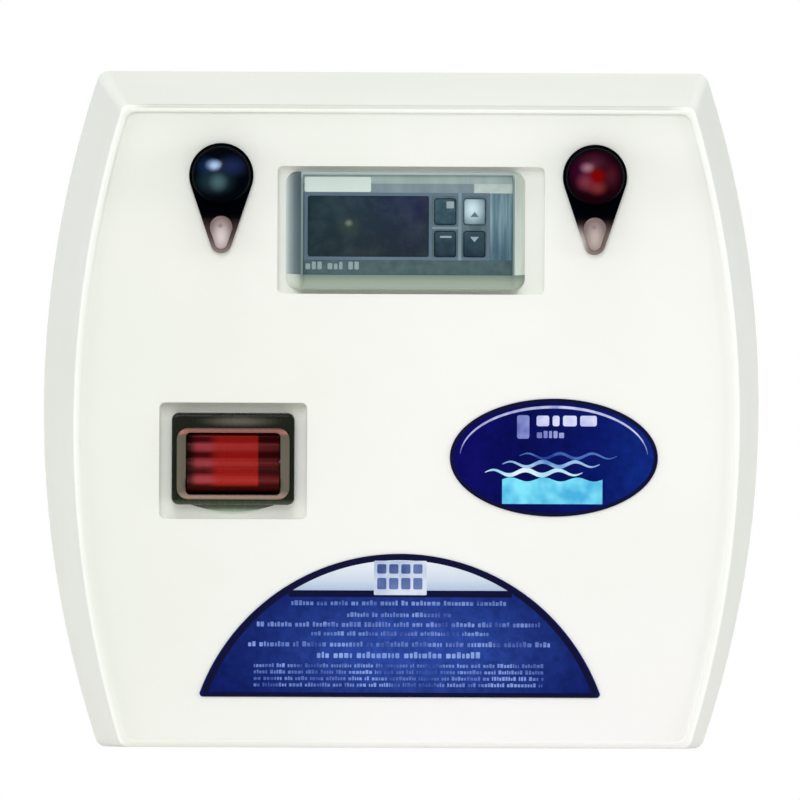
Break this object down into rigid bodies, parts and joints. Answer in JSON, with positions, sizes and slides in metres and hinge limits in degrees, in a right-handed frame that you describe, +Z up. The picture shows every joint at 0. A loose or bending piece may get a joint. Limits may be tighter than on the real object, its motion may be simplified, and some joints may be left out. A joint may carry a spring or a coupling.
{
  "type": "salt chlorine generator control box",
  "caption": "Wall-mounted pool chlorinator control box: bowed white cover with display and keys, rocker switch, pilot lamps, and a bay for cable glands below.",
  "frame": {"origin": "centre of the back plate's wall face", "axes": "+Z up, -Y out of the front panel towards the viewer, +X to the viewer's right; the wall is the plane Y = 0"},
  "size_m": [0.258, 0.1138, 0.244],
  "materials": {
    "cover_white": "satin moulded plastic, warm white",
    "chassis_grey": "moulded plastic, light grey",
    "seal_rubber": "soft black rubber",
    "screw_steel": "zinc-plated steel",
    "bezel_grey": "matt olive-grey plastic",
    "overlay_teal": "printed polyester sheet, grey-teal",
    "window_smoke": "clear smoked plastic",
    "housing_black": "black plastic",
    "key_teal": "soft dark teal",
    "key_pale": "soft pale grey",
    "board_green": "green solder mask",
    "digit_dark": "dark display face",
    "switch_black": "black-green plastic",
    "paddle_red": "translucent red, lit",
    "terminal_brass": "tinned brass",
    "lamp_black": "polished black",
    "jewel_teal": "clear teal jewel",
    "jewel_red": "clear red jewel",
    "tail_clear": "clear plastic, slightly pink",
    "led_clear": "clear epoxy",
    "label_blue": "printed polyester label",
    "gland_grey": "grey nylon",
    "fuse_glass": "clear glass with metal caps",
    "winding_tape": "amber winding tape",
    "sink_aluminium": "extruded",
    "part_black": "black epoxy",
    "capacitor_blue": "blue sleeve",
    "strip_green": "green nylon"
  },
  "bodies": {
    "housing": {"front_cover": "cover_white", "chassis": "chassis_grey", "cover_seal": "seal_rubber", "cover_screws": "screw_steel", "display_bezel": "bezel_grey", "display_overlay": "overlay_teal", "display_window": "window_smoke", "display_housing": "housing_black", "display_terminals": "strip_green", "display_board": "board_green", "digit_block": "digit_dark", "display_clips": "housing_black", "switch_frame": "switch_black", "switch_body": "switch_black", "switch_terminals": "terminal_brass", "left_lamp_bezel": "lamp_black", "left_lamp_jewel": "jewel_teal", "left_lamp_tail": "tail_clear", "left_lamp_led": "led_clear", "right_lamp_bezel": "lamp_black", "right_lamp_jewel": "jewel_red", "right_lamp_tail": "tail_clear", "right_lamp_led": "led_clear", "lamp_nuts": "housing_black", "oval_label": "label_blue", "arch_label": "label_blue", "mains_gland_body": "gland_grey", "mains_gland_seal": "seal_rubber", "mains_gland_nut": "gland_grey", "cell_gland_body": "gland_grey", "cell_gland_seal": "seal_rubber", "cell_gland_nut": "gland_grey", "gland_locknuts": "gland_grey", "fuse_holder": "part_black", "fuse_nut": "part_black", "transformer_core": "winding_tape", "transformer_pads": "seal_rubber", "transformer_washer": "screw_steel", "transformer_bolt": "screw_steel", "transformer_nut": "screw_steel", "heat_sink": "sink_aluminium", "sink_screws": "screw_steel", "bridge_rectifier": "part_black", "control_board": "board_green", "board_screws": "screw_steel", "polarity_relays": "part_black", "smoothing_capacitors": "capacitor_blue", "terminal_strip": "strip_green", "terminal_screws": "screw_steel", "board_chips": "part_black", "trimmer_body": "capacitor_blue"},
    "rocker": {"rocker_paddle": "paddle_red", "rocker_pin": "screw_steel"},
    "fuse_carrier": {"fuse": "fuse_glass"},
    "fuse_cap": {"fuse_cap": "part_black"},
    "trimmer": {"trimmer_rotor": "key_pale"},
    "menu_key": {"menu_key": "key_teal"},
    "up_key": {"up_key": "key_pale"},
    "set_key": {"set_key": "key_teal"},
    "down_key": {"down_key": "key_teal"}
  },
  "joints": [
    {"name": "rocker_tilt", "type": "hinge", "parent": "housing", "child": "rocker", "pos_m": [-0.0605, -0.0995, -0.0128], "axis": [1, 0, 0], "range_deg": [0, 20]},
    {"name": "fuse_pull", "type": "slide", "parent": "housing", "child": "fuse_carrier", "axis": [0, 0, -1], "range_m": [0, 0.035]},
    {"name": "fuse_cap_turn", "type": "hinge", "parent": "fuse_carrier", "child": "fuse_cap", "pos_m": [-0.036, -0.0225, -0.105], "axis": [0, 0, 1], "range_deg": [0, 90]},
    {"name": "trimmer_turn", "type": "hinge", "parent": "housing", "child": "trimmer", "pos_m": [-0.022, -0.02, 0.048], "axis": [0, -1, 0], "range_deg": [-135, 135]},
    {"name": "menu_key_press", "type": "slide", "parent": "housing", "child": "menu_key", "axis": [0, 1, 0], "range_m": [0, 0.0008], "stiffness_N_per_m": 300},
    {"name": "up_key_press", "type": "slide", "parent": "housing", "child": "up_key", "axis": [0, 1, 0], "range_m": [0, 0.0008], "stiffness_N_per_m": 300},
    {"name": "set_key_press", "type": "slide", "parent": "housing", "child": "set_key", "axis": [0, 1, 0], "range_m": [0, 0.0008], "stiffness_N_per_m": 300},
    {"name": "down_key_press", "type": "slide", "parent": "housing", "child": "down_key", "axis": [0, 1, 0], "range_m": [0, 0.0008], "stiffness_N_per_m": 300}
  ]
}
